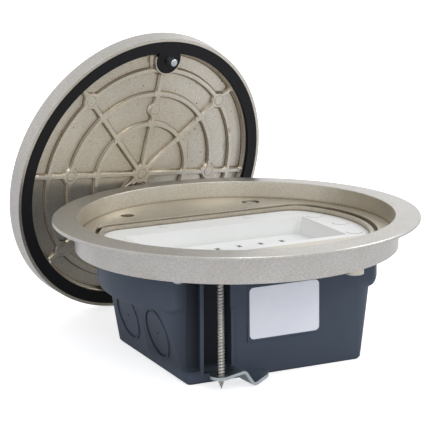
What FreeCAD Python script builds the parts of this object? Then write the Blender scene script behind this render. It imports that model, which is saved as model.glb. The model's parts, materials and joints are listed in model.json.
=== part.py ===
"""Round floor socket box with a lift-off lid, in millimetres.

Z = 0 is the finished floor, where the underside of the trim ring's flange rests.
+Z points up out of the floor, and X runs along the box's long side.  The lid is
off: it stands behind the ring on the plane of the box's bottom and leans on the
ring's edge, with its ribbed underside towards the ring.
"""
import FreeCAD, Part
import math
import os

os.makedirs("parts", exist_ok=True)

V = FreeCAD.Vector
UP = V(0, 0, 1)
ORIGIN = V(0, 0, 0)

# ---- for finding edges on a solid ----
tolerance = 0.01
most_of = 0.9                     # an edge that spans this share of a size runs all along it

# ---- trim ring ----
flange_radius = 100.0
flange_edge_thickness = 1.7
ring_top = 2.2                    # the flange rises a little towards the opening
flange_edge_bevel = 0.4
opening_bevel = 0.3
opening_radius = 86.36            # at the top of the well
well_floor_radius = 85.12         # at the ledge: the well's wall is drafted
well_depth = 9.46
skirt_radius = 88.13
skirt_depth = 15.06
skirt_wall = 2.5
ledge_thickness = 2.4
window_radius = 77.0              # the window through the ledge: a disc with two flats
window_half_width = 45.0
window_corner = 13.5
window_step_depth = 1.05
sight_radius = 72.8               # the smaller window in which the tray's face shows
sight_half_width = 43.5
sight_corner = 15.0
drain_groove_width = 2.0          # arc groove beside the bead at each end of the window
drain_groove_depth = 1.6
lip_depth = 3.44                  # from the ledge's top to the tray's face
lip_wall = 1.6
boss_radius = 5.15                # round a lid screw's socket
boss_x = 39.0
boss_y = 60.8
boss_recess_radius = 4.0
claw_boss_radius = 6.8            # round a claw screw
claw_recess_radius = 5.2

# ---- lid screws' sockets in the ring ----
lid_boss_depth = 22.9             # below the floor
insert_radius = 3.5
insert_length = 9.0
insert_recess = 2.2
pilot_radius = 2.7
pilot_end_wall = 1.6

# ---- support tray ----
tray_plate = 2.0
tray_edge_radius = 75.5
tray_edge_half_width = 47.0
tray_edge_corner = 12.0
recess_half_length = 54.4         # at the face
recess_half_width = 26.0
recess_floor_half_length = 50.4
recess_floor_half_width = 23.0
recess_corner = 1.6
recess_depth = 9.0
tray_wall = 1.6
slot_pitch = 13.3
slot_count = 6
slot_length = 2.7
slot_width = 4.4
slot_row_y = 10.5
tray_pad_radius = 4.5
tray_pad_height = 0.25
tray_pad_place = 65.0             # from the middle of the tray
tray_pad_angles = (-20.5, 0.0, 20.5)
side_pad_radius = 2.6
side_pad_x = 26.0
side_pad_y = 38.8

# ---- back box ----
box_depth = 75.3                  # its bottom, below the floor
box_wall = 2.2
bottom_half_length = 52.1
bottom_half_width = 47.4
bottom_corner = 3.5
shoulder_half_length = 60.3       # where the tapered body meets the collar
shoulder_half_width = 48.5
shoulder_corner = 12.0
collar_radius = 76.5
collar_corner = 4.0
collar_depth = 36.3
collar_round = 5.5
body_overlap = 8.0
rim_thickness = 2.24
rim_clearance = 0.6
seat_clearance = 0.3
boss_clearance = 0.4
seal_thickness = 1.5
seal_edge_clearance = 0.5
bottom_bevel = 1.3
wall_root = 1.1                   # how deep what stands on the box's wall is rooted in it

channel_depth = 4.4               # pocket in the long wall behind each claw screw
channel_low = 70.0
channel_right = 11.5              # from the screw's axis to the pocket's inner end
channel_left = 3.6
rib_width = 2.2
side_pocket_width = 7.4
side_pocket_depth = 2.6
side_pocket_low = 68.0
edge_rib_width = 1.7
edge_rib_height = 0.6
edge_rib_low = 67.8

knockout_radius = 12.6
knockout_y = 20.0
knockout_depth = 53.2
knockout_groove_width = 0.9
knockout_groove_depth = 0.7
knockout_rim_width = 1.0
knockout_rim_height = 0.5
knockout_rim_root = 1.0
knockout_dot_radius = 0.7

label_x = 4.05
label_length = 41.1
label_top = 27.0
label_height = 27.8
label_corner = 2.5
label_thickness = 0.15
label_pad_margin = 1.2
label_pad_height = 0.2

# ---- screws that hold the box to the ring ----
box_screw_x = 59.0
box_screw_y = 54.0
box_screw_radius = 1.5
box_screw_head_radius = 2.8
box_screw_head_height = 2.0
box_screw_head_bevel = 0.7
box_screw_grip = 1.8              # how far it enters the ledge
box_lug_radius = 3.3
box_lug_height = 2.4

# ---- claws and their screws ----
claw_screw_radius = 2.0
claw_screw_tip = 74.8             # below the floor
claw_screw_point = 5.0            # the length of its point
claw_screw_point_radius = 0.25
running_clearance = 0.05
screw_head_radius = 3.7
screw_head_height = 2.2
screw_head_bevel = 0.7
drive_slot_width = 1.0
drive_slot_depth = 1.1
washer_thickness = 0.8
washer_radius = 3.9
head_recess_depth = 3.4
clip_radius = 4.2
clip_thickness = 0.6
clip_clearance = 0.3

claw_thickness = 1.6
claw_width = 12.0
claw_corner = 3.0
claw_bend = 1.8                   # on the inside of a bend
claw_level = -67.0                # the plate's top at the screw
claw_arch = 11.4                  # measured from the screw's axis
claw_arch_rise = 2.0
claw_valley = 16.6
claw_valley_drop = 5.9
claw_tip = 26.2
claw_tip_drop = 1.4
claw_turn = 5.0                   # degrees towards the box

# ---- lid ----
lid_rim_radius = 85.0             # at the underside
lid_top_radius = 86.0
lid_height = 9.1
lid_edge_bevel = 0.6
pocket_radius = 76.0
pocket_floor_radius = 75.0
pocket_depth = 6.5
rib_clear = 2.6                   # the ribs stop this far inside the rim
lid_rib_width = 1.7
rib_circles = (31.5, 50.0, 65.0)
hub_radius = 5.0
spoke_count = 8
pad_radius = 4.1
pad_stand = 0.3
pad_small_radius = 3.6
inner_pad_place = 40.5
lid_boss_radius = 9.0
gasket_outer = 83.0
gasket_inner = 76.3
gasket_rebate = 1.5
gasket_proud = 0.3
gasket_clearance = 0.1
gasket_ear_radius = 8.2
lid_screw_radius = 2.15
lid_screw_reach = 5.6             # beyond the gasket
lid_screw_head_radius = 4.2
lid_screw_head_height = 2.2
lid_screw_tip_bevel = 0.35
lid_head_clearance = 0.3
ring_seal_thickness = 0.6
ring_seal_width = 1.2
captive_clip_radius = 3.5
captive_clip_thickness = 0.6
captive_gap = 0.3

lid_turn = 11.5                   # degrees about Z, seen from above
lid_lean = 13.95                  # degrees, its top towards the ring
lid_side_shift = 5.8
lid_ring_gap = 0.4                # between the ring's edge and the lid's hub
lid_spin = 207.0                  # turns the lid so that its screws lie as drawn

# ---- heights that follow ----
ledge_top = ring_top - well_depth
ledge_under = ledge_top - ledge_thickness
tray_face = ledge_top - lip_depth
tray_under = tray_face - tray_plate
rim_top = ledge_under - seal_thickness
rim_under = rim_top - rim_thickness
box_bottom = -box_depth
collar_low = -collar_depth
skirt_inner = skirt_radius - skirt_wall
head_seat = ledge_top - head_recess_depth
claw_boss_low = -skirt_depth + clip_clearance
lug_low = rim_under - box_lug_height
reach = 2 * flange_radius         # longer than any piece, for cutting tools

claw_places = ((-boss_x, -boss_y, 0.0), (boss_x, boss_y, 180.0))
lid_boss_places = ((boss_x, -boss_y), (-boss_x, boss_y))
box_screw_places = [(sx * box_screw_x, sy * box_screw_y) for sx in (-1, 1) for sy in (-1, 1)]


def cylinder(radius, low, high, x=0.0, y=0.0):
    return Part.makeCylinder(radius, high - low, V(x, y, low), UP)


def tube(outer, inner, low, high, x=0.0, y=0.0):
    return cylinder(outer, low, high, x, y).cut(cylinder(inner, low, high, x, y))


def block(x0, x1, y0, y1, z0, z1):
    return Part.makeBox(x1 - x0, y1 - y0, z1 - z0, V(x0, y0, z0))


def upright_edges(shape):
    """Straight edges along Z."""
    found = []
    for edge in shape.Edges:
        box = edge.BoundBox
        if box.ZLength > 0.01 and box.XLength < 0.01 and box.YLength < 0.01:
            found.append(edge)
    return found


def cut_disc(radius, half_width, corner, low, high):
    """A disc with two flats parallel to X and rounded corners between them."""
    disc = cylinder(radius, low, high)
    band = block(-reach, reach, -half_width, half_width, low, high)
    plate = disc.common(band)
    corners = [e for e in upright_edges(plate) if abs(e.BoundBox.YMin) > most_of * half_width]
    return plate.makeFillet(corner, corners)


def rounded_wire(half_length, half_width, corner, z):
    """A rectangle with rounded corners, drawn counter-clockwise."""
    x, y, r = half_length, half_width, corner
    diagonal = r * (1 - math.sqrt(0.5))
    edges = []
    turns = ((x, y, -1, -1), (-x, y, 1, -1), (-x, -y, 1, 1), (x, -y, -1, 1))
    ends = []
    for cx, cy, dx, dy in turns:
        first = V(cx, cy + dy * r, z)
        last = V(cx + dx * r, cy, z)
        if dx * dy < 0:
            first, last = last, first
        middle = V(cx + dx * diagonal, cy + dy * diagonal, z)
        ends.append((first, middle, last))
    for index, (first, middle, last) in enumerate(ends):
        edges.append(Part.Arc(first, middle, last).toShape())
        following = ends[(index + 1) % len(ends)][0]
        edges.append(Part.LineSegment(last, following).toShape())
    return Part.Wire(edges)


def tapered_block(low_size, high_size, low, high):
    """A drafted block between two rounded rectangles: half length, half width, corner."""
    return Part.makeLoft([rounded_wire(*low_size, low), rounded_wire(*high_size, high)], True, True)


def upright_block(size, low, high):
    """A rounded rectangle, as in tapered_block, drawn straight up."""
    return Part.Face(rounded_wire(*size, low)).extrude(V(0, 0, high - low))


def revolve(points):
    """Turn a closed outline of (radius, height) points about Z."""
    corners = [V(r, 0, z) for r, z in points]
    outline = Part.makePolygon(corners + corners[:1])
    return Part.Face(outline).revolve(ORIGIN, UP, 360)


def circle_edges(shape, radius, z):
    found = []
    for edge in shape.Edges:
        box = edge.BoundBox
        flat = box.ZLength < tolerance and abs(box.ZMin - z) < tolerance
        if flat and abs(box.XMax - radius) < tolerance and abs(box.XMin + radius) < tolerance:
            found.append(edge)
    return found


def turned(shape, degrees):
    copy = shape.copy()
    copy.rotate(ORIGIN, UP, degrees)
    return copy


def on_circle(radius, angle):
    return radius * math.cos(angle), radius * math.sin(angle)


def save(shape, node):
    shape.exportStep("parts/%s.step" % node)


# ---------------------------------------------------------------- trim ring
def make_trim_ring():
    ring = revolve([
        (0, ledge_under), (skirt_inner, ledge_under), (skirt_inner, -skirt_depth),
        (skirt_radius, -skirt_depth), (skirt_radius, 0), (flange_radius, 0),
        (flange_radius, flange_edge_thickness), (opening_radius, ring_top),
        (well_floor_radius, ledge_top), (0, ledge_top)])
    ring = ring.makeChamfer(flange_edge_bevel, circle_edges(ring, flange_radius, flange_edge_thickness))
    ring = ring.makeChamfer(opening_bevel, circle_edges(ring, opening_radius, ring_top))
    lip = cut_disc(window_radius + lip_wall, window_half_width + lip_wall,
                   window_corner + lip_wall, tray_face, ledge_under)
    ring = ring.fuse(lip)
    for x, y, _ in claw_places:
        ring = ring.fuse(cylinder(claw_boss_radius, claw_boss_low, ledge_under, x, y))
    for x, y in lid_boss_places:
        ring = ring.fuse(cylinder(boss_radius, -lid_boss_depth, ledge_under, x, y))
    step_floor = ledge_top - window_step_depth
    window = cut_disc(window_radius, window_half_width, window_corner, step_floor, ring_top)
    sight = cut_disc(sight_radius, sight_half_width, sight_corner, -reach, ring_top)
    groove = tube(window_radius, window_radius - drain_groove_width,
                  step_floor - drain_groove_depth, step_floor)
    groove = groove.common(cut_disc(window_radius, window_half_width, window_corner,
                                    step_floor - drain_groove_depth, step_floor))
    ring = ring.cut(Part.makeCompound([window, sight, groove]))
    for x, y, _ in claw_places:
        ring = ring.cut(cylinder(claw_recess_radius, head_seat, ledge_top, x, y))
        ring = ring.cut(cylinder(claw_screw_radius + running_clearance, -reach, head_seat, x, y))
    insert_top = ledge_top - insert_recess
    insert_low = insert_top - insert_length
    for x, y in lid_boss_places:
        ring = ring.cut(cylinder(boss_recess_radius, insert_top, ledge_top, x, y))
        ring = ring.cut(cylinder(insert_radius, insert_low, insert_top, x, y))
        ring = ring.cut(cylinder(pilot_radius, -lid_boss_depth + pilot_end_wall, insert_low, x, y))
    for x, y in box_screw_places:
        ring = ring.cut(cylinder(box_screw_radius, ledge_under, ledge_under + box_screw_grip, x, y))
    return ring.removeSplitter()


def make_inserts():
    top = ledge_top - insert_recess
    bore = lid_screw_radius + running_clearance
    sleeves = [tube(insert_radius, bore, top - insert_length, top, x, y) for x, y in lid_boss_places]
    return Part.makeCompound(sleeves)


# ------------------------------------------------------------- support tray
def make_tray():
    plate = cut_disc(tray_edge_radius, tray_edge_half_width, tray_edge_corner, tray_under, tray_face)
    floor = tray_face - recess_depth
    face_size = (recess_half_length, recess_half_width, recess_corner)
    floor_size = (recess_floor_half_length, recess_floor_half_width, recess_corner)
    outer_floor = [s + tray_wall for s in floor_size]
    outer_face = [s + tray_wall for s in face_size]
    tub = tapered_block(outer_floor, outer_face, floor - tray_wall, tray_face)
    tray = plate.fuse(tub).cut(tapered_block(floor_size, face_size, floor, tray_face))
    slots = []
    for row in (-slot_row_y, slot_row_y):
        for index in range(slot_count):
            x = (index - (slot_count - 1) / 2) * slot_pitch
            slots.append(block(x - slot_length / 2, x + slot_length / 2,
                               row - slot_width / 2, row + slot_width / 2, -reach, floor))
    tray = tray.cut(Part.makeCompound(slots))
    for angle in (0, 180):
        for offset in tray_pad_angles:
            x, y = on_circle(tray_pad_place, math.radians(angle + offset))
            tray = tray.fuse(cylinder(tray_pad_radius, tray_face, tray_face + tray_pad_height, x, y))
        for x in (-side_pad_x, side_pad_x):
            pad = cylinder(side_pad_radius, tray_face, tray_face + tray_pad_height, x, side_pad_y)
            tray = tray.fuse(turned(pad, angle))
    return tray.removeSplitter()


# ----------------------------------------------------------------- back box
def knockout(side, y):
    """The scored disc in an end wall: what is added and what is cut away."""
    rise = box_depth - collar_depth
    draft = math.atan2(shoulder_half_length - bottom_half_length, rise)
    height = box_depth - knockout_depth
    x = bottom_half_length + height * math.tan(draft)
    centre = V(side * x, y, -knockout_depth)
    outward = V(side * math.cos(draft), 0, -math.sin(draft))
    mean = knockout_radius
    half = knockout_groove_width / 2

    def disc(radius, depth, height_out):
        return Part.makeCylinder(radius, depth + height_out, centre - outward * depth, outward)

    rim = disc(mean + half + knockout_rim_width, knockout_rim_root, knockout_rim_height)
    rim = rim.cut(disc(mean + half, knockout_rim_root, knockout_rim_height))
    groove = disc(mean + half, knockout_groove_depth, knockout_rim_height)
    groove = groove.cut(disc(mean - half, knockout_groove_depth, 2 * knockout_rim_height))
    dot = disc(knockout_dot_radius, knockout_groove_depth, knockout_rim_height)
    return rim, Part.makeCompound([groove, dot])


def channel_blocks(wall):
    """The pockets behind one claw screw, grown by a wall for the inside of the box."""
    rib_left = -boss_x - channel_left - rib_width
    front = -shoulder_half_width
    channel = block(-boss_x - channel_left - wall, -boss_x + channel_right + wall,
                    front - reach, front + channel_depth + wall, -channel_low - wall, rim_under + wall)
    side = block(rib_left - side_pocket_width - wall, rib_left + wall,
                 front - reach, front + side_pocket_depth + wall, -side_pocket_low - wall, rim_under + wall)
    return channel, side


def make_back_box():
    low_size = (bottom_half_length, bottom_half_width, bottom_corner)
    high_size = (shoulder_half_length, shoulder_half_width, shoulder_corner)
    foot_size = [s - bottom_bevel for s in low_size]
    foot = tapered_block(foot_size, low_size, box_bottom, box_bottom + bottom_bevel)
    body = tapered_block(low_size, high_size, box_bottom + bottom_bevel, collar_low)
    neck = upright_block(high_size, collar_low, collar_low + body_overlap)
    collar = cut_disc(collar_radius, shoulder_half_width, collar_corner, collar_low, rim_top)
    collar_edges = [e for e in collar.Edges if e.BoundBox.ZMax < collar_low + tolerance]
    collar = collar.makeFillet(collar_round, collar_edges)
    rim = cylinder(skirt_inner - rim_clearance, rim_under, rim_top)
    outer = body.fuse([foot, neck, collar, rim])
    for x, y in box_screw_places:
        outer = outer.fuse(cylinder(box_lug_radius, lug_low, rim_under, x, y))

    inner_low = (bottom_half_length - box_wall, bottom_half_width - box_wall, bottom_corner)
    inner_high = (shoulder_half_length - box_wall, shoulder_half_width - box_wall,
                  shoulder_corner - box_wall)
    hollow = tapered_block(inner_low, inner_high, box_bottom + box_wall, collar_low)
    throat = upright_block(inner_high, collar_low, collar_low + box_wall)
    inner_collar = cut_disc(collar_radius - box_wall, shoulder_half_width - box_wall,
                            collar_corner, collar_low + box_wall, rim_top)
    hollow = hollow.fuse([throat, inner_collar])
    for angle in (0, 180):
        for pocket in channel_blocks(box_wall):
            hollow = hollow.cut(turned(pocket, angle))
    seat = cut_disc(tray_edge_radius + seat_clearance, tray_edge_half_width + seat_clearance,
                    tray_edge_corner, tray_under, rim_top)
    box = outer.cut(hollow).cut(seat)

    front = -shoulder_half_width
    for angle in (0, 180):
        for pocket in channel_blocks(0):
            box = box.cut(turned(pocket, angle))
        x = -boss_x + channel_right
        rib = block(x, x + edge_rib_width, front - edge_rib_height, front + wall_root,
                    -edge_rib_low, collar_low)
        box = box.fuse(turned(rib, angle))
    x0 = label_x - label_length / 2 - label_pad_margin
    x1 = label_x + label_length / 2 + label_pad_margin
    z0 = -label_top - label_height - label_pad_margin
    pad = block(x0, x1, front - label_pad_height, front + wall_root, z0, -label_top + label_pad_margin)
    box = box.fuse(pad)
    for x, y, _ in claw_places:
        box = box.cut(cylinder(claw_boss_radius + boss_clearance, rim_under, rim_top, x, y))
    for x, y in lid_boss_places:
        box = box.cut(cylinder(boss_radius + boss_clearance, rim_under, rim_top, x, y))
    for x, y in box_screw_places:
        box = box.cut(cylinder(box_screw_radius, lug_low, rim_top, x, y))
    for side in (-1, 1):
        for y in (-knockout_y, knockout_y):
            rim_ring, cuts = knockout(side, y)
            box = box.fuse(rim_ring).cut(cuts)
    return box.removeSplitter()


def make_collar_seal():
    outer = cylinder(skirt_inner - seal_edge_clearance, rim_top, ledge_under)
    gap = lip_wall + seal_edge_clearance
    inner = cut_disc(window_radius + gap, window_half_width + gap, window_corner + gap,
                     rim_top, ledge_under)
    seal = outer.cut(inner)
    for x, y in lid_boss_places:
        seal = seal.cut(cylinder(boss_radius + boss_clearance, rim_top, ledge_under, x, y))
    for x, y, _ in claw_places:
        seal = seal.cut(cylinder(claw_boss_radius + boss_clearance, rim_top, ledge_under, x, y))
    for x, y in box_screw_places:
        seal = seal.cut(cylinder(box_screw_radius, rim_top, ledge_under, x, y))
    return seal


def make_box_screws():
    screws = []
    for x, y in box_screw_places:
        head_low = lug_low - box_screw_head_height
        head = cylinder(box_screw_head_radius, head_low, lug_low, x, y)
        rim = [e for e in head.Edges if e.BoundBox.ZMax < head_low + tolerance]
        head = head.makeChamfer(box_screw_head_bevel, rim)
        shank = cylinder(box_screw_radius, lug_low, ledge_under + box_screw_grip, x, y)
        screws.append(head.fuse(shank))
    return Part.makeCompound(screws)


def make_label():
    y = -shoulder_half_width - label_pad_height
    wire = rounded_wire(label_length / 2, label_height / 2, label_corner, 0)
    sheet = Part.Face(wire).extrude(V(0, 0, label_thickness))
    sheet.rotate(ORIGIN, V(1, 0, 0), 90)
    sheet.translate(V(label_x, y, -label_top - label_height / 2))
    return sheet


# ------------------------------------------------------ claws and their screws
def make_claw_screw(x, y):
    seat = head_seat + washer_thickness
    head = cylinder(screw_head_radius, seat, seat + screw_head_height, x, y)
    rim = [e for e in head.Edges if e.BoundBox.ZMin > seat + screw_head_height - tolerance]
    head = head.makeChamfer(screw_head_bevel, rim)
    shank_low = -claw_screw_tip + claw_screw_point
    shank = cylinder(claw_screw_radius, shank_low, seat, x, y)
    point = Part.makeCone(claw_screw_point_radius, claw_screw_radius, claw_screw_point,
                          V(x, y, -claw_screw_tip), UP)
    top = seat + screw_head_height
    slot = block(x - reach, x + reach, y - drive_slot_width / 2, y + drive_slot_width / 2,
                 top - drive_slot_depth, top)
    return head.cut(slot).fuse([shank, point])


def make_claw_clip(x, y):
    top = claw_boss_low - clip_clearance
    return tube(clip_radius, claw_screw_radius, top - clip_thickness, top, x, y)


def make_washers():
    bore = claw_screw_radius + running_clearance
    washers = [tube(washer_radius, bore, head_seat, head_seat + washer_thickness, x, y)
               for x, y, _ in claw_places]
    return Part.makeCompound(washers)


def rounded_outline(corners):
    """A closed outline in XZ through corners (x, z, radius), rounded where the radius isn't zero."""
    turns = []
    for index, (x, z, radius) in enumerate(corners):
        corner = V(x, 0, z)
        before = corners[index - 1]
        after = corners[(index + 1) % len(corners)]
        back = (V(before[0], 0, before[1]) - corner).normalize()
        ahead = (V(after[0], 0, after[1]) - corner).normalize()
        half = back.getAngle(ahead) / 2
        inward = (back + ahead).normalize()
        setback = radius / math.tan(half)
        middle = corner + inward * (radius / math.sin(half) - radius)
        turns.append((corner + back * setback, middle, corner + ahead * setback))
    edges = []
    for index, (first, middle, last) in enumerate(turns):
        if corners[index][2]:
            edges.append(Part.Arc(first, middle, last).toShape())
        following = turns[(index + 1) % len(turns)][0]
        edges.append(Part.LineSegment(last, following).toShape())
    return Part.Wire(edges)


def strip(points, thickness, width):
    """A bent strip: its top line of (x, z, radius) points, its thickness below it, its width along Y.

    The radius is the one on the inside of the bend, and the other face gets a thickness more.
    """
    upper = []
    lower = []
    for index, (x, z, radius) in enumerate(points):
        normals = []
        for a, b in ((index - 1, index), (index, index + 1)):
            if a >= 0 and b < len(points):
                dx, dz = points[b][0] - points[a][0], points[b][1] - points[a][1]
                size = math.hypot(dx, dz)
                normals.append((dz / size, -dx / size))
        nx = sum(n[0] for n in normals)
        nz = sum(n[1] for n in normals)
        size = math.hypot(nx, nz)
        nx, nz = nx / size, nz / size
        stretch = thickness / (nx * normals[0][0] + nz * normals[0][1])
        top_is_outside = normals[0][0] * normals[-1][1] - normals[0][1] * normals[-1][0] < 0
        wider = radius + thickness if radius else 0
        upper.append((x, z, wider if top_is_outside else radius))
        lower.append((x + nx * stretch, z + nz * stretch, radius if top_is_outside else wider))
    outline = rounded_outline(upper + lower[::-1])
    outline.translate(V(0, -width / 2, 0))
    return Part.Face(outline).extrude(V(0, width, 0))


def make_claw(x, y, angle):
    half = claw_width / 2
    plate = strip([(-half, claw_level, 0),
                   (-claw_screw_radius, claw_level, 0),
                   (claw_arch, claw_level + claw_arch_rise, claw_bend),
                   (claw_valley, claw_level - claw_valley_drop, claw_bend),
                   (claw_tip, claw_level - claw_tip_drop, 0)], claw_thickness, claw_width)
    plan = rounded_wire((claw_tip + claw_corner) / 2, half, claw_corner, -reach)
    plan.translate(V((claw_tip - claw_corner) / 2, 0, 0))
    plan = Part.Face(plan).extrude(V(0, 0, reach)).fuse(cylinder(half, -reach, 0))
    plate = plate.common(plan)
    plate = plate.cut(cylinder(claw_screw_radius + running_clearance, -reach, 0))
    plate.rotate(ORIGIN, UP, angle + claw_turn)
    plate.translate(V(x, y, 0))
    return plate


# ---------------------------------------------------------------------- lid
def lid_placement():
    """Where the lid stands: on the box's bottom plane, leaning on the ring's edge."""
    turn = math.radians(lid_turn)
    lean = math.radians(lid_lean)
    spin = math.radians(lid_spin)
    side = V(math.cos(turn), math.sin(turn), 0)
    back = V(-math.sin(turn), math.cos(turn), 0)
    height = box_bottom + lid_rim_radius * math.cos(lean)
    rise = flange_edge_thickness - height
    hub_depth = rib_clear - pad_stand
    away = flange_radius + (math.sin(lean) * rise + lid_ring_gap - hub_depth) / math.cos(lean)
    centre = side * lid_side_shift + back * away + UP * height
    facing = back * -math.cos(lean) + UP * -math.sin(lean)
    upward = UP * math.cos(lean) + back * -math.sin(lean)
    x_axis = side * math.cos(spin) + upward * math.sin(spin)
    y_axis = side * math.sin(spin) - upward * math.cos(spin)
    z_axis = facing * -1
    matrix = FreeCAD.Matrix(x_axis.x, y_axis.x, z_axis.x, centre.x,
                            x_axis.y, y_axis.y, z_axis.y, centre.y,
                            x_axis.z, y_axis.z, z_axis.z, centre.z,
                            0, 0, 0, 1)
    return FreeCAD.Placement(matrix)


def placed(shape):
    """Move a piece of the lid from its closed pose, rim at Z = 0, to where it stands."""
    copy = shape.copy()
    copy.Placement = lid_placement().multiply(copy.Placement)
    return copy


def make_lid_casting():
    lid = Part.makeCone(lid_rim_radius, lid_top_radius, lid_height)
    lid = lid.makeChamfer(lid_edge_bevel, circle_edges(lid, lid_top_radius, lid_height))
    pocket = Part.makeCone(pocket_radius, pocket_floor_radius, pocket_depth)
    first = math.atan2(boss_y, -boss_x)
    angles = [first + 2 * math.pi * k / spoke_count for k in range(spoke_count)]

    pieces = []
    for radius in rib_circles:
        pieces.append(tube(radius + lid_rib_width / 2, radius - lid_rib_width / 2, rib_clear, pocket_depth))
    spoke = block(0, pocket_radius, -lid_rib_width / 2, lid_rib_width / 2, rib_clear, pocket_depth)
    for angle in angles:
        pieces.append(turned(spoke, math.degrees(angle)))
    pad_low = rib_clear - pad_stand
    pieces.append(cylinder(hub_radius, pad_low, pocket_depth))
    for index, angle in enumerate(angles):
        if index % 2 == 1:
            pieces.append(cylinder(pad_radius, pad_low, pocket_depth, *on_circle(rib_circles[2], angle)))
        elif index % 4 == 2:
            pieces.append(cylinder(pad_radius, pad_low, pocket_depth, *on_circle(rib_circles[1], angle)))
        else:
            pieces.append(cylinder(pad_small_radius, pad_low, pocket_depth, *on_circle(inner_pad_place, angle)))
    for x, y in lid_boss_places:
        pieces.append(cylinder(lid_boss_radius, 0, pocket_depth, x, y))
    kept = pieces[0].fuse(pieces[1:]).common(pocket)
    lid = lid.cut(pocket.cut(kept))

    rebate = tube(gasket_outer + gasket_clearance, pocket_radius - lid_rib_width, 0, gasket_rebate)
    lid = lid.cut(rebate)
    for x, y in lid_boss_places:
        lid = lid.cut(cylinder(gasket_ear_radius + gasket_clearance, 0, gasket_rebate, x, y))
        lid = lid.cut(cylinder(captive_clip_radius + captive_gap, gasket_rebate,
                               gasket_rebate + captive_clip_thickness + 2 * captive_gap, x, y))
        bore = lid_screw_radius + running_clearance
        lid = lid.cut(cylinder(bore, 0, lid_height, x, y))
        recess_low = lid_height - lid_screw_head_height - ring_seal_thickness
        lid = lid.cut(cylinder(lid_screw_head_radius + lid_head_clearance, recess_low, lid_height, x, y))
    return lid.removeSplitter()


def make_lid_gasket():
    low = -gasket_proud
    gasket = tube(gasket_outer, gasket_inner, low, gasket_rebate)
    for x, y in lid_boss_places:
        gasket = gasket.fuse(cylinder(gasket_ear_radius, low, gasket_rebate, x, y))
    for x, y in lid_boss_places:
        gasket = gasket.cut(cylinder(lid_screw_radius + lid_head_clearance, low, gasket_rebate, x, y))
    return gasket.removeSplitter()


def make_lid_screw(x, y):
    low = -gasket_proud - lid_screw_reach
    seat = lid_height - lid_screw_head_height
    shank = cylinder(lid_screw_radius, low, seat, x, y)
    head = cylinder(lid_screw_head_radius, seat, lid_height, x, y)
    slot = block(x - reach, x + reach, y - drive_slot_width / 2, y + drive_slot_width / 2,
                 lid_height - drive_slot_depth, lid_height)
    screw = shank.fuse(head.cut(slot))
    tip = [e for e in screw.Edges if e.BoundBox.ZMax < low + tolerance]
    return screw.makeChamfer(lid_screw_tip_bevel, tip)


def make_captive_clip(x, y):
    low = gasket_rebate + captive_gap
    return tube(captive_clip_radius, lid_screw_radius, low, low + captive_clip_thickness, x, y)


def make_lid_ring_seals():
    low = lid_height - lid_screw_head_height - ring_seal_thickness
    inner = lid_screw_radius + running_clearance
    seals = [tube(inner + ring_seal_width, inner, low, low + ring_seal_thickness, x, y)
             for x, y in lid_boss_places]
    return Part.makeCompound(seals)


def build():
    save(make_trim_ring(), "trim_ring")
    save(make_inserts(), "lid_screw_inserts")
    save(make_tray(), "support_tray")
    save(make_back_box(), "back_box")
    save(make_collar_seal(), "collar_seal")
    save(make_box_screws(), "box_screws")
    save(make_label(), "label")
    save(make_washers(), "claw_screw_washers")
    for side, (x, y, angle) in zip(("left", "right"), claw_places):
        save(make_claw_screw(x, y), "claw_screw_" + side)
        save(make_claw_clip(x, y), "claw_screw_clip_" + side)
        save(make_claw(x, y, angle), "claw_" + side)
    save(placed(make_lid_casting()), "lid_casting")
    save(placed(make_lid_gasket()), "lid_gasket")
    save(placed(make_lid_ring_seals()), "lid_ring_seals")
    for name, (x, y) in zip(("lower", "upper"), lid_boss_places):
        save(placed(make_lid_screw(x, y)), "lid_screw_" + name)
        save(placed(make_captive_clip(x, y)), "lid_screw_clip_" + name)


build()
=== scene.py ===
import bpy
import bmesh
import json
import math
import numpy as np
from mathutils import Euler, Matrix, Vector


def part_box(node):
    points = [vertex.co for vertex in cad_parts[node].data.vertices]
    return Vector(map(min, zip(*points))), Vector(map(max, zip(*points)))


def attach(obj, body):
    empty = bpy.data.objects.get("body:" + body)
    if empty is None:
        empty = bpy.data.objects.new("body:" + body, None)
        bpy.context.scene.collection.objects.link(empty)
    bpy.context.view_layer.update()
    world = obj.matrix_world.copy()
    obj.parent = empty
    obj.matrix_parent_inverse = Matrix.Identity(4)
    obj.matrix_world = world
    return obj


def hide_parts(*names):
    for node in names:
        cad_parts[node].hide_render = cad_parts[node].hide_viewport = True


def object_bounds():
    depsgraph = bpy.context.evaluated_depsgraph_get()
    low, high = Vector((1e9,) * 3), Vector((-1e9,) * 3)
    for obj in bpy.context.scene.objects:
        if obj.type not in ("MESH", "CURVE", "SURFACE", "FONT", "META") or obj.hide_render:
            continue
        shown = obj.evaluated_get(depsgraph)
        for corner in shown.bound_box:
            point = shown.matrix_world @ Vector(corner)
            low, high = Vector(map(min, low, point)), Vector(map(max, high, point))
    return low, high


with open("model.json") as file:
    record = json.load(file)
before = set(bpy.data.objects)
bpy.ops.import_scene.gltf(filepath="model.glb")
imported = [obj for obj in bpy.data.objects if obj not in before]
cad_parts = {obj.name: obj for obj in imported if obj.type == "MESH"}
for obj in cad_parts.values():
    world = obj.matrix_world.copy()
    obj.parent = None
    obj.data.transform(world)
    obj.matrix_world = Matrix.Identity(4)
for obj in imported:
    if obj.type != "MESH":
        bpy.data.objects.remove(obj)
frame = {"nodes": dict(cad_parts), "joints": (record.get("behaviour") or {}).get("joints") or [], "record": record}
cad_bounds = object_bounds()

MM = 0.001
SHARP_ANGLE = math.radians(28)
OPENNESS_SAMPLES = 8
BEVEL_SAMPLES = 6
CLEAN = (1.0, 1.0, 1.0)           # the shade that changes nothing

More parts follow.
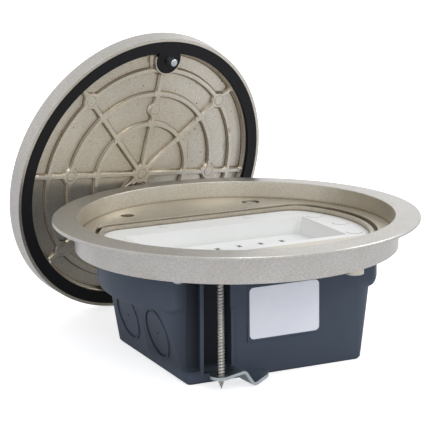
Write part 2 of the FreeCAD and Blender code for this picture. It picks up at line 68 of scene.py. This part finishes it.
# ---- camera: where it stands, how it is turned in degrees, and its lens in millimetres
CAMERA_PLACE = Vector((-0.3977, -0.8175, 0.2021))
CAMERA_TURN = (77.587, 0.716, -25.304)
CAMERA_LENS = 144.48
CAMERA_SENSOR = 36.0
CAMERA_REACH = 20.0

# ---- stage: the world and the floor, and each lamp's name, place, size, power and colour
WORLD_COLOUR = (0.95, 0.96, 1.0, 1.0)
WORLD_STRENGTH = 0.76
WHITE = (1.0, 1.0, 1.0, 1.0)
FLOOR_COLOUR = (0.86, 0.86, 0.87, 1.0)
FLOOR_HALF = 3.0
FLOOR_GLOW = 0.05
FLOOR_GLOW_TO_CAMERA = 0.6
LAMPS = (("key", (1.3, -0.1, 1.1), 0.8, 7.5, (0.98, 0.985, 1.0)),
         ("fill", (-0.2, -1.5, 1.1), 0.9, 4.5, (0.98, 0.99, 1.0)),
         ("relief", (-0.1, -0.7, 1.5), 0.22, 3.5, (1.0, 1.0, 0.99)),
         ("back", (1.0, 1.5, 0.6), 0.8, 0.4, (1.0, 1.0, 1.0)))

# ---- claw screws
SCREW_RADIUS = 2.0 * MM
THREAD_PITCH = 1.65 * MM
THREAD_DEPTH = 0.5 * MM
THREAD_TOP = -16.2 * MM
THREAD_FLANK = 0.38               # half of a ridge's foot, as a share of the pitch
THREAD_AROUND = 32                # points in a ring
THREAD_PER_TURN = 10              # rings in a turn
POINT_LENGTH = 5.0 * MM
POINT_TIP = 0.05                  # the tip's share of the radius
WELD = 1e-7
SCREW_STEEL_DARK = (0.40, 0.385, 0.36)
SCREW_STEEL_LIGHT = (0.52, 0.50, 0.47)

# ---- nickel plating: neutral outside, a painted warm reflection inside the castings, painted shade where it is hollow and in corners, and the pores' own darker colour
NICKEL = (0.58, 0.563, 0.54)
PAINTED_WARM_REFLECTION_NICKEL = (0.69, 0.655, 0.58)
PAINTED_HOLLOW_SHADE_NICKEL = (0.58, 0.525, 0.43)
PORE = (0.36, 0.29, 0.23)
PAINTED_CORNER_SHADE = (0.24, 0.18, 0.13)

# ---- where the painted warm reflection inside begins: radii, and how deep it goes below the lid's rim, in millimetres
RING_INSIDE = 86.6
LID_INSIDE = 84.7
LID_INSIDE_REACH = 7.5
INSIDE_SOFT = 0.3
BEYOND = 1.0                      # in metres, further than the part goes

# ---- painted shade in the channels behind the claw screws and in the pockets beside them: places in millimetres from the middle, with their shade
CHANNEL_SHADE = ((27.3, 1.0), (27.6, 0.13), (42.5, 0.13), (42.7, 1.0), (44.7, 1.0), (44.9, 0.17),
                 (48.0, 0.26), (53.0, 0.55), (59.0, 1.0))
CHANNEL_LOW = -71.0
CHANNEL_LOW_SOFT = 5.0

# ---- the lid's cast underside, in millimetres: depths are from its rim's plane
POCKET_FLOOR = 4.7
POCKET_TOP = 1.5
POCKET_WALL = 75.3
POCKET_EDGE = 76.2
WALL_START = 0.1
WALL_ROUND = 1.3
RIB_TOP = 2.58
RIB_HALF = 1.05
RIB_FOOT = 1.95
RIB_CIRCLES = (31.5, 50.0, 65.0)
SPOKES = 8
PAD_RADIUS = 4.3
SMALL_PAD_RADIUS = 3.8
SMALL_PAD_PLACE = 40.5
HUB_RADIUS = 5.2
BUTTON_RADIUS = 2.9
BUTTON_HEIGHT = 0.1
BUTTON_SOFT = 0.3
BUTTON_GROOVE = 0.22
BUTTON_GROOVE_HALF = 0.512
BOSS_RADIUS = 9.0
BOSS_RISE = 0.75                  # how much of the pocket's depth its foot climbs
BOSS_FOOT = 1.8
BOSS_OVERLAP = 0.7                # how far the cast surface reaches under the solid boss
CASTING_BLEND = 1.3
NUBS = ((-6.5, 3.2), (-6.8, -3.4))
NUB_HEIGHT = 1.6
NUB_RADIUS = 1.2
PITS = ((26.6, -59.0), (15.4, -60.6), (-22.0, 40.5))
PIT_DEPTH = 0.5
PIT_RADIUS = 0.9
SCRATCH = ((19.4, -30.1), (7.7, -33.2))
SCRATCH_DEPTH = 0.18
SCRATCH_HALF = (0.15, 0.7)        # its bottom's and its edge's distance from the middle line

# ---- the faces of the solid pocket that the cast surface takes the place of
CAD_POCKET_RADIUS = 76.05
CAD_POCKET_TOP = 1.55
CAD_POCKET_FLOOR = 6.5
CAD_MARGIN = 0.1

# ---- the cast surface's grid: steps in millimetres outwards, and in degrees around
FINE_STEP = 0.32
COARSE_STEP = 1.3
HUB_BAND = (1.0, 8.0)
INNER_BAND_MARGINS = (4, 5)
OUTER_BAND_MARGIN = 5
WALL_BAND = 1.6
SPOKE_BAND = 4.4

# ---- painted shade on the lid's underside, a line just below the rib tops and a darker one at the ribs' feet: depth in millimetres, and the colour that shades it
RIB_PAINTED_SHADE = ((1.6, CLEAN),
              (RIB_TOP + 0.02, CLEAN),
              (RIB_TOP + 0.14, (0.66, 0.60, 0.54)),
              (RIB_TOP + 0.5, CLEAN),
              (POCKET_FLOOR - 0.8, CLEAN),
              (POCKET_FLOOR - 0.45, (0.36, 0.28, 0.21)),
              (POCKET_FLOOR - 0.1, (0.48, 0.40, 0.33)),
              (POCKET_FLOOR - 0.01, CLEAN),
              (6.0, CLEAN))


# ---------------------------------------------------------------- materials
class Graph:
    """A node tree being built."""

    def __init__(self, tree):
        self.nodes = tree.nodes
        self.links = tree.links

    def feed(self, socket, value):
        """Link a socket to another node's output, or give it a fixed value."""
        if isinstance(value, bpy.types.NodeSocket):
            self.links.new(value, socket)
        else:
            socket.default_value = value

    def add(self, kind, inputs, operation=None):
        """A new node, with its inputs fed by their names or numbers."""
        node = self.nodes.new(kind)
        if operation:
            node.operation = operation
        for name, value in inputs.items():
            self.feed(node.inputs[name], value)
        return node

    def maths(self, operation, *values):
        return self.add("ShaderNodeMath", dict(enumerate(values)), operation).outputs["Value"]


class Surface(Graph):
    """A material being built, with its Principled shader."""

    def __init__(self, name):
        self.material = bpy.data.materials.new(name)
        self.material.use_nodes = True
        super().__init__(self.material.node_tree)
        self.shader = self.nodes["Principled BSDF"]
        self.place = self.nodes.new("ShaderNodeTexCoord").outputs["Object"]

    def noise(self, size, detail=3.0, roughness=0.55):
        return self.add("ShaderNodeTexNoise", {"Scale": 1.0 / size, "Detail": detail,
                                               "Roughness": roughness, "Vector": self.place}).outputs["Fac"]

    def ramp(self, value, *stops):
        """Colours by a value, from stops of a position and a colour or a grey.
        A new ramp has two stops of its own, which take the first two."""
        node = self.add("ShaderNodeValToRGB", {"Fac": value})
        elements = node.color_ramp.elements
        for index, (position, colour) in enumerate(stops):
            element = elements[index] if index < 2 else elements.new(position)
            element.position = position
            element.color = (*colour, 1.0) if isinstance(colour, tuple) else (colour, colour, colour, 1.0)
        return node.outputs["Color"]

    def mix(self, first, second, factor, kind="MIX"):
        node = self.add("ShaderNodeMix", {})
        node.data_type = "RGBA"
        node.blend_type = kind
        for name, value in (("A", first), ("B", second)):
            socket = [i for i in node.inputs if i.name == name and i.type == "RGBA"][0]
            self.feed(socket, (*value, 1.0) if isinstance(value, tuple) else value)
        self.feed(node.inputs["Factor"], factor)
        return [o for o in node.outputs if o.type == "RGBA"][0]

    def times(self, colour, *shades):
        for shade in shades:
            colour = self.mix(colour, shade, 1.0, "MULTIPLY")
        return colour

    def mapped(self, value, low, high, to_low=0.0, to_high=1.0):
        """A value carried from one span to another, and held at its ends."""
        return self.add("ShaderNodeMapRange", {"Value": value, "From Min": low, "From Max": high,
                                               "To Min": to_low, "To Max": to_high}).outputs["Result"]

    def spread(self, noise, low, high):
        """A noise's usual span carried to another."""
        return self.mapped(noise, 0.3, 0.7, low, high)

    def vector(self, operation, *values):
        node = self.add("ShaderNodeVectorMath", dict(enumerate(values)), operation)
        return node.outputs["Value" if operation in ("LENGTH", "DOT_PRODUCT") else "Vector"]

    def from_axis(self, centre, axis):
        """The distance from a line, in the frame in which the part stands at rest."""
        arm = self.vector("SUBTRACT", self.place, centre)
        return self.vector("LENGTH", self.vector("CROSS_PRODUCT", arm, axis))

    def along_axis(self, centre, axis):
        return self.vector("DOT_PRODUCT", self.vector("SUBTRACT", self.place, centre), axis)

    def part_of_place(self, axis):
        return self.add("ShaderNodeSeparateXYZ", {"Vector": self.place}).outputs[axis]

    def turned_x(self):
        """X, with its sign turned on the side of low Y: the part repeats after half a turn."""
        side = self.maths("SIGN", self.part_of_place("Y"))
        return self.maths("MULTIPLY", side, self.part_of_place("X"))

    def openness(self, distance, own=False):
        """1 on open surfaces, lower in hollows and corners: the materials paint their shade by it."""
        node = self.add("ShaderNodeAmbientOcclusion", {"Distance": distance})
        node.samples = OPENNESS_SAMPLES
        node.only_local = own
        return node.outputs["AO"]

    def relief(self, value, height, bevel=0.0):
        bump = self.add("ShaderNodeBump", {"Strength": 1.0, "Distance": height, "Height": value})
        if bevel:
            edge = self.add("ShaderNodeBevel", {"Radius": bevel})
            edge.samples = BEVEL_SAMPLES
            self.feed(bump.inputs["Normal"], edge.outputs["Normal"])
        self.feed(self.shader.inputs["Normal"], bump.outputs["Normal"])

    def complete(self, colour, roughness, metallic=0.0, specular=0.5):
        self.feed(self.shader.inputs["Base Color"], colour)
        self.feed(self.shader.inputs["Roughness"], roughness)
        self.shader.inputs["Metallic"].default_value = metallic
        self.shader.inputs["Specular IOR Level"].default_value = specular
        return self.material


def satin_nickel(name="satin_nickel", centre=(0.0, 0.0, 0.0), axis=(0.0, 0.0, 1.0),
                 inner=RING_INSIDE * MM, reach=BEYOND, painted_shade=None):
    """Plated casting: inside the radius inner about the axis, up to reach along it, it takes a painted warm
    reflection.
    The last argument gives pairs of a depth along the axis, in millimetres, and the colour of the painted shade at
    that depth."""
    s = Surface(name)
    grain = s.noise(0.6 * MM, detail=2.0, roughness=0.7)
    fleck = s.noise(0.8 * MM, detail=1.0)
    cloud = s.noise(22 * MM, detail=3.0)
    soft = INSIDE_SOFT * MM
    # painted warm reflection: inside the radius and up to the reach, the plating is tinted warm
    across = s.mapped(s.from_axis(centre, axis), inner - soft, inner, 1.0, 0.0)
    along = s.mapped(s.along_axis(centre, axis), reach, reach + soft, 1.0, 0.0)
    # painted shade: where the surface is hollow, the warm inside turns darker and browner
    painted_hollow_shade = s.ramp(s.openness(22 * MM), (0.45, 1.0), (0.9, 0.0))
    within = s.mix(PAINTED_WARM_REFLECTION_NICKEL, PAINTED_HOLLOW_SHADE_NICKEL, painted_hollow_shade)
    # painted shade by depth along the axis, from the last argument's pairs; the pores are the casting's own pits
    if painted_shade:
        low, high = painted_shade[0][0], painted_shade[-1][0]
        pores = s.ramp(s.noise(1.9 * MM, detail=1.0), (0.73, 1.0), (0.77, PORE))
        depth = s.mapped(s.along_axis(centre, axis), low * MM, high * MM)
        stops = [((place - low) / (high - low), colour) for place, colour in painted_shade]
        within = s.times(within, pores, s.ramp(depth, *stops))
    tint = s.mix(NICKEL, within, s.maths("MULTIPLY", across, along))
    fine = s.ramp(grain, (0.34, (0.72, 0.71, 0.69)), (0.66, 1.0))
    broad = s.ramp(cloud, (0.35, (0.93, 0.925, 0.91)), (0.65, 1.0))
    # painted shade: darker and browner in tight corners, such as the ribs' feet
    corner = s.ramp(s.openness(1.6 * MM), (0.40, PAINTED_CORNER_SHADE), (0.88, 1.0))
    s.relief(grain, height=0.06 * MM, bevel=0.3 * MM)
    return s.complete(s.times(tint, fine, broad, corner), s.spread(fleck, 0.30, 0.43), metallic=0.92)


def slate_plastic():
    s = Surface("slate_plastic")
    grain = s.noise(0.25 * MM, detail=3.0, roughness=0.6)
    cloud = s.noise(30 * MM, detail=2.0)
    colour = s.ramp(cloud, (0.3, (0.069, 0.086, 0.115)), (0.7, (0.077, 0.095, 0.126)))
    # painted shade: the box is darker in its grooves and recesses, and in the channels and pockets beside the claw
    # screws above their foot
    painted_groove_shade = s.ramp(s.openness(14 * MM, own=True), (0.10, 0.6), (0.45, 1.0))
    low, high = CHANNEL_SHADE[0][0], CHANNEL_SHADE[-1][0]
    stops = [((place - low) / (high - low), shade) for place, shade in CHANNEL_SHADE]
    channel = s.ramp(s.mapped(s.turned_x(), low * MM, high * MM), *stops)
    above_foot = s.mapped(s.part_of_place("Z"), CHANNEL_LOW * MM, (CHANNEL_LOW + CHANNEL_LOW_SOFT) * MM)
    shade = s.times(painted_groove_shade, s.mix(CLEAN, channel, above_foot))
    s.relief(grain, height=0.012 * MM, bevel=0.4 * MM)
    return s.complete(s.times(colour, shade), s.spread(grain, 0.40, 0.52), specular=0.12)


def white_plastic():
    s = Surface("white_plastic")
    grain = s.noise(0.4 * MM, detail=2.0)
    cloud = s.noise(40 * MM, detail=2.0)
    colour = s.ramp(cloud, (0.3, (0.765, 0.77, 0.75)), (0.7, (0.795, 0.80, 0.78)))
    # painted shade: darker in corners, and near black deep in the tray's slots
    shade = s.ramp(s.openness(5 * MM), (0.36, 0.02), (0.5, (0.82, 0.82, 0.81)), (0.9, 1.0))
    s.relief(grain, height=0.006 * MM, bevel=0.35 * MM)
    return s.complete(s.times(colour, shade), s.spread(grain, 0.34, 0.42), specular=0.3)


def black_rubber():
    s = Surface("black_rubber")
    grain = s.noise(0.5 * MM, detail=4.0, roughness=0.65)
    colour = s.ramp(grain, (0.3, (0.006, 0.006, 0.007)), (0.7, (0.013, 0.013, 0.015)))
    s.relief(grain, height=0.03 * MM, bevel=0.25 * MM)
    return s.complete(colour, s.spread(grain, 0.5, 0.65), specular=0.16)


def zinc_steel(name="zinc_steel", dark=(0.47, 0.52, 0.55), light=(0.58, 0.62, 0.64)):
    s = Surface(name)
    grain = s.noise(0.6 * MM, detail=4.0, roughness=0.6)
    cloud = s.noise(5 * MM, detail=2.0)
    tint = s.ramp(cloud, (0.3, dark), (0.7, light))
    rubbed = s.ramp(grain, (0.3, 0.90), (0.7, 1.0))
    # painted shade: darker in tight corners, such as between a screw's thread ridges
    corner = s.ramp(s.openness(0.8 * MM), (0.35, (0.22, 0.20, 0.18)), (0.92, 1.0))
    s.relief(grain, height=0.01 * MM, bevel=0.15 * MM)
    return s.complete(s.times(tint, rubbed, corner), s.spread(grain, 0.26, 0.40), metallic=1.0)


def brass():
    s = Surface("brass")
    grain = s.noise(0.5 * MM)
    colour = s.ramp(grain, (0.3, (0.50, 0.36, 0.14)), (0.7, (0.62, 0.46, 0.20)))
    s.relief(grain, height=0.008 * MM, bevel=0.1 * MM)
    return s.complete(colour, s.spread(grain, 0.28, 0.38), metallic=1.0)


def label_film():
    s = Surface("label_film")
    grain = s.noise(0.5 * MM)
    cloud = s.noise(14 * MM, detail=2.0)
    colour = s.ramp(cloud, (0.3, (0.88, 0.90, 0.965)), (0.7, (0.91, 0.93, 0.985)))
    s.relief(grain, height=0.004 * MM)
    return s.complete(colour, s.spread(grain, 0.34, 0.44))


MATERIALS = {make.__name__: make() for make in
             (satin_nickel, slate_plastic, white_plastic, black_rubber, zinc_steel, brass, label_film)}


def dress(piece, material):
    """Give a piece its material, and smooth shading between its sharp edges."""
    piece.data.materials.clear()
    piece.data.materials.append(material)
    piece.data.shade_smooth()
    piece.data.set_sharp_from_angle(angle=SHARP_ANGLE)


SLOT_OF = {entry["node"]: entry["material_slot"] for entry in frame["record"]["subparts"]}
for node_name, cad_node in frame["nodes"].items():
    dress(cad_node, MATERIALS[SLOT_OF[node_name]])


# ------------------------------------------------------------ pieces
def add_object(name, data):
    thing = bpy.data.objects.new(name, data)
    bpy.context.scene.collection.objects.link(thing)
    return thing


def add_piece(name, mesh, body, material):
    """A visible piece that rides on a body, with its material."""
    piece = add_object(name, mesh)
    dress(piece, material)
    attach(piece, body)
    return piece


def finished(mesh, name):
    built = bpy.data.meshes.new(name)
    mesh.to_mesh(built)
    mesh.free()
    return built


# ------------------------------------------------------------ claw screws
def thread_mesh(name, axis_x, axis_y, low, high):
    """A pointed screw thread about a vertical axis, as flat rings whose radius follows the helix."""
    rows = int((high - low) / THREAD_PITCH * THREAD_PER_TURN)
    mesh = bmesh.new()
    previous = None
    for row in range(rows + 1):
        z = low + (high - low) * row / rows
        reach = min(1.0, (z - low) / POINT_LENGTH)
        ring = []
        for step in range(THREAD_AROUND):
            angle = 2 * math.pi * step / THREAD_AROUND
            phase = (z / THREAD_PITCH - step / THREAD_AROUND) % 1.0
            crest = max(0.0, 1.0 - abs(phase - 0.5) / THREAD_FLANK)
            r = (SCREW_RADIUS - THREAD_DEPTH + THREAD_DEPTH * crest) * max(reach, POINT_TIP)
            ring.append(mesh.verts.new((axis_x + r * math.cos(angle), axis_y + r * math.sin(angle), z)))
        if previous:
            for step in range(THREAD_AROUND):
                after = (step + 1) % THREAD_AROUND
                mesh.faces.new((previous[step], previous[after], ring[after], ring[step]))
        else:
            mesh.faces.new(list(reversed(ring)))
        previous = ring
    mesh.faces.new(previous)
    return finished(mesh, name)


def head_mesh(node, above):
    """The part of a CAD node that lies above a height, closed at the cut."""
    mesh = bmesh.new()
    mesh.from_mesh(frame["nodes"][node].data)
    bmesh.ops.remove_doubles(mesh, verts=mesh.verts, dist=WELD)
    everything = list(mesh.verts) + list(mesh.edges) + list(mesh.faces)
    cut = bmesh.ops.bisect_plane(mesh, geom=everything, plane_co=(0, 0, above), plane_no=(0, 0, 1),
                                 clear_inner=True)
    edges = [g for g in cut["geom_cut"] if isinstance(g, bmesh.types.BMEdge)]
    bmesh.ops.holes_fill(mesh, edges=edges)
    return finished(mesh, node + "_head")


def add_claw_screw(side, steel):
    node = "claw_screw_" + side
    low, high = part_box(node)
    middle = (low + high) / 2
    thread = add_piece(node + "_thread", thread_mesh(node, middle.x, middle.y, low.z, THREAD_TOP),
                       node, steel)
    head = add_piece(node + "_head", head_mesh(node, THREAD_TOP), node, steel)
    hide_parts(node)
    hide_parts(node)


SCREW_STEEL = zinc_steel("screw_steel", SCREW_STEEL_DARK, SCREW_STEEL_LIGHT)
for side_name in ("left", "right"):
    add_claw_screw(side_name, SCREW_STEEL)


# ------------------------------------------------------- the lid's cast underside
def joint_named(name):
    return [j for j in frame["joints"] if j["name"] == name][0]


def lid_axes():
    """The rim's centre; axes across to the upper screw, sideways, and out of the underside;
    and how far the screws are from the centre."""
    lower = joint_named("lid_screw_lower_turn")
    upper = joint_named("lid_screw_upper_turn")
    low = Vector(lower["pos_m"])
    high = Vector(upper["pos_m"])
    across = (high - low).normalized()
    outward = Vector(upper["axis"]).normalized()
    return (low + high) / 2, across, outward.cross(across), outward, (high - low).length / 2


def smooth_least(values, blend):
    """The least of several arrays, with a rounded change from one to the next."""
    least = values[0]
    for value in values[1:]:
        share = np.clip(0.5 + 0.5 * (value - least) / blend, 0.0, 1.0)
        least = value * (1 - share) + least * share - blend * share * (1 - share)
    return least


def step_down(distance, start, end):
    """1 up to start, 0 from end, and a soft change between."""
    t = np.clip((distance - start) / (end - start), 0.0, 1.0)
    return 1.0 - t * t * (3.0 - 2.0 * t)


def dent(x, y, place, radius):
    """1 at a place, and softly less away from it."""
    return np.exp(-((x - place[0]) ** 2 + (y - place[1]) ** 2) / radius ** 2)


def segment_distance(x, y, start, end):
    dx, dy = end[0] - start[0], end[1] - start[1]
    t = np.clip(((x - start[0]) * dx + (y - start[1]) * dy) / (dx * dx + dy * dy), 0.0, 1.0)
    return np.hypot(x - start[0] - t * dx, y - start[1] - t * dy)


def pad_on_spoke(index):
    """How far out a spoke's pad lies, and its radius."""
    if index % 2 == 1:
        return RIB_CIRCLES[2], PAD_RADIUS
    if index % 4 == 2:
        return RIB_CIRCLES[1], PAD_RADIUS
    return SMALL_PAD_PLACE, SMALL_PAD_RADIUS


def casting_depth(x, y, boss_place):
    """Depth of the cast surface below the rim's plane, from soft ribs, pads and the hub."""
    r = np.hypot(x, y)
    lines = [np.abs(r - circle) - RIB_HALF for circle in RIB_CIRCLES]
    buttons = [(0.0, 0.0, HUB_RADIUS)]
    for index in range(SPOKES):
        angle = 2 * math.pi * index / SPOKES
        ux, uy = math.cos(angle), math.sin(angle)
        along = x * ux + y * uy
        beside = np.abs(-x * uy + y * ux)
        lines.append(np.where(along > 0, beside, r) - RIB_HALF)
        place, size = pad_on_spoke(index)
        buttons.append((place * ux, place * uy, size))
    for bx, by, size in buttons:
        lines.append(np.hypot(x - bx, y - by) - size)
    nearest = smooth_least(lines, CASTING_BLEND)
    depth = POCKET_FLOOR - (POCKET_FLOOR - RIB_TOP) * step_down(nearest, 0.0, RIB_FOOT - RIB_HALF)
    for bx, by, _ in buttons:
        away = np.hypot(x - bx, y - by)
        raised = step_down(away, BUTTON_RADIUS - BUTTON_SOFT, BUTTON_RADIUS + BUTTON_SOFT)
        grooved = step_down(np.abs(away - BUTTON_RADIUS), 0.0, BUTTON_GROOVE_HALF)
        depth = depth - BUTTON_HEIGHT * raised + BUTTON_GROOVE * grooved
    for side in (-1, 1):
        gap = np.hypot(x - side * boss_place, y) - BOSS_RADIUS
        depth = depth - (depth - POCKET_TOP) * BOSS_RISE * step_down(gap, 0.0, BOSS_FOOT)
    for nub in NUBS:
        depth = depth - NUB_HEIGHT * dent(x, y, nub, NUB_RADIUS)
    depth = depth + SCRATCH_DEPTH * step_down(segment_distance(x, y, *SCRATCH), *SCRATCH_HALF)
    for pit in PITS:
        depth = depth + PIT_DEPTH * dent(x, y, pit, PIT_RADIUS)
    wall = step_down(POCKET_EDGE - r, WALL_START, POCKET_EDGE - POCKET_WALL + WALL_ROUND)
    return depth - (depth - POCKET_TOP) * wall


def spaced(low, high, step):
    """Even places from low up to high, without high itself."""
    count = max(1, round((high - low) / step))
    return [low + (high - low) * i / count for i in range(count)]


def casting_grid():
    """Radii and angles, close together where the ribs and pads are."""
    inner, middle, outer = RIB_CIRCLES
    edges = (*HUB_BAND, inner - INNER_BAND_MARGINS[0], middle + INNER_BAND_MARGINS[1],
             outer - OUTER_BAND_MARGIN, outer + OUTER_BAND_MARGIN, POCKET_WALL - WALL_BAND, POCKET_EDGE)
    radii = [0.0]
    for index in range(len(edges) - 1):
        radii += spaced(edges[index], edges[index + 1], COARSE_STEP if index % 2 else FINE_STEP)
    radii.append(POCKET_EDGE)
    angles = []
    half = 180.0 / SPOKES
    for index in range(SPOKES):
        spoke = 360.0 * index / SPOKES
        angles += spaced(spoke - half, spoke - SPOKE_BAND, COARSE_STEP)
        angles += spaced(spoke - SPOKE_BAND, spoke + SPOKE_BAND, FINE_STEP)
        angles += spaced(spoke + SPOKE_BAND, spoke + half, COARSE_STEP)
    return np.array(radii), np.radians(angles)


def pocket_faces(mesh, centre, across, sideways, outward, boss_place):
    """The solid pocket's floor, ribs and wall, but not its screw bosses."""
    faces = []
    for face in mesh.faces:
        away = face.calc_center_median() - centre
        x, y, depth = away.dot(across) / MM, away.dot(sideways) / MM, -away.dot(outward) / MM
        boss = min(math.hypot(x - boss_place, y), math.hypot(x + boss_place, y))
        inside = (math.hypot(x, y) < CAD_POCKET_RADIUS
                  and CAD_POCKET_TOP < depth < CAD_POCKET_FLOOR + CAD_MARGIN)
        if inside and boss > BOSS_RADIUS + CAD_MARGIN:
            faces.append(face)
    return faces


def add_lid_casting():
    """The CAD casting with its pocket's plain faces swapped for the soft cast surface."""
    centre, across, sideways, outward, boss_place = lid_axes()
    boss_place = boss_place / MM
    mesh = bmesh.new()
    mesh.from_mesh(frame["nodes"]["lid_casting"].data)
    swapped = pocket_faces(mesh, centre, across, sideways, outward, boss_place)
    bmesh.ops.delete(mesh, geom=swapped, context="FACES")

    radii, angles = casting_grid()
    r, angle = np.meshgrid(radii[1:], angles, indexing="ij")
    x, y = r * np.cos(angle), r * np.sin(angle)
    depth = casting_depth(x, y, boss_place)
    place = np.array(centre) + MM * (x[..., None] * np.array(across) + y[..., None] * np.array(sideways)
                                     - depth[..., None] * np.array(outward))
    boss = np.minimum(np.hypot(x - boss_place, y), np.hypot(x + boss_place, y))
    rows, columns = x.shape
    grid = [[mesh.verts.new(place[i, j]) for j in range(columns)] for i in range(rows)]
    middle_depth = float(casting_depth(np.zeros(1), np.zeros(1), boss_place)[0])
    middle = mesh.verts.new(centre - outward * middle_depth * MM)
    for j in range(columns):
        k = (j + 1) % columns
        mesh.faces.new((middle, grid[0][j], grid[0][k]))
        for i in range(rows - 1):
            if boss[i, j] > BOSS_RADIUS - BOSS_OVERLAP:
                mesh.faces.new((grid[i][j], grid[i + 1][j], grid[i + 1][k], grid[i][k]))
    bmesh.ops.delete(mesh, geom=[v for v in mesh.verts if not v.link_faces], context="VERTS")
    cast = satin_nickel("satin_nickel_lid", tuple(centre), tuple(-outward), LID_INSIDE * MM,
                        LID_INSIDE_REACH * MM, RIB_PAINTED_SHADE)
    piece = add_piece("lid_casting_body", finished(mesh, "lid_casting_body"), "lid", cast)
    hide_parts("lid_casting")


add_lid_casting()


# ------------------------------------------------------- stage, light, camera
def seen_share(graph):
    """1 for camera, glossy and transmission rays, and 0 for all others; then 1 for the camera's alone."""
    path = graph.nodes.new("ShaderNodeLightPath")
    camera = path.outputs["Is Camera Ray"]
    either = graph.maths("MAXIMUM", camera, path.outputs["Is Glossy Ray"])
    return graph.maths("MAXIMUM", either, path.outputs["Is Transmission Ray"]), camera


def build_world():
    """A plain light all round, which viewers see as white."""
    world = bpy.data.worlds.new("studio")
    bpy.context.scene.world = world
    world.use_nodes = True
    graph = Graph(world.node_tree)
    plain = graph.nodes["Background"]
    plain.inputs["Color"].default_value = WORLD_COLOUR
    plain.inputs["Strength"].default_value = WORLD_STRENGTH
    white = graph.add("ShaderNodeBackground", {"Color": WHITE, "Strength": 1.0})
    mixed = graph.add("ShaderNodeMixShader", {0: seen_share(graph)[0], 1: plain.outputs[0],
                                              2: white.outputs[0]})
    graph.feed(graph.nodes["World Output"].inputs["Surface"], mixed.outputs[0])


def build_floor():
    """A pale floor that looks white and keeps the shadow: its own glow is only for viewers."""
    level, half = cad_bounds[0].z, FLOOR_HALF
    mesh = bpy.data.meshes.new("floor")
    corners = [(-half, -half, level), (half, -half, level), (half, half, level), (-half, half, level)]
    mesh.from_pydata(corners, [], [(0, 1, 2, 3)])
    floor = add_object("floor", mesh)
    material = bpy.data.materials.new("floor")
    material.use_nodes = True
    graph = Graph(material.node_tree)
    graph.nodes.remove(graph.nodes["Principled BSDF"])
    plain = graph.add("ShaderNodeBsdfDiffuse", {"Color": FLOOR_COLOUR})
    seen, camera = seen_share(graph)
    strength = graph.maths("MULTIPLY_ADD", camera, FLOOR_GLOW_TO_CAMERA,
                           graph.maths("MULTIPLY", seen, FLOOR_GLOW))
    white = graph.add("ShaderNodeEmission", {"Strength": strength})
    added = graph.add("ShaderNodeAddShader", {0: plain.outputs[0], 1: white.outputs[0]})
    graph.feed(graph.nodes["Material Output"].inputs["Surface"], added.outputs[0])
    mesh.materials.append(material)


def add_lamp(name, place, size, power, colour):
    """A round lamp that is aimed at the middle of the ring."""
    lamp = bpy.data.lights.new(name, "AREA")
    lamp.shape = "DISK"
    lamp.size = size
    lamp.energy = power
    lamp.color = colour
    holder = add_object(name, lamp)
    holder.location = place
    holder.rotation_euler = (-Vector(place)).to_track_quat("-Z", "Y").to_euler()


def build_camera():
    data = bpy.data.cameras.new("camera")
    data.sensor_width = CAMERA_SENSOR
    data.lens = CAMERA_LENS
    data.clip_end = CAMERA_REACH
    camera = add_object("camera", data)
    camera.location = CAMERA_PLACE
    camera.rotation_euler = Euler([math.radians(a) for a in CAMERA_TURN], "XYZ")
    bpy.context.scene.camera = camera


build_world()
build_floor()
for lamp_values in LAMPS:
    add_lamp(*lamp_values)
build_camera()
bpy.context.scene.view_settings.view_transform = "Standard"
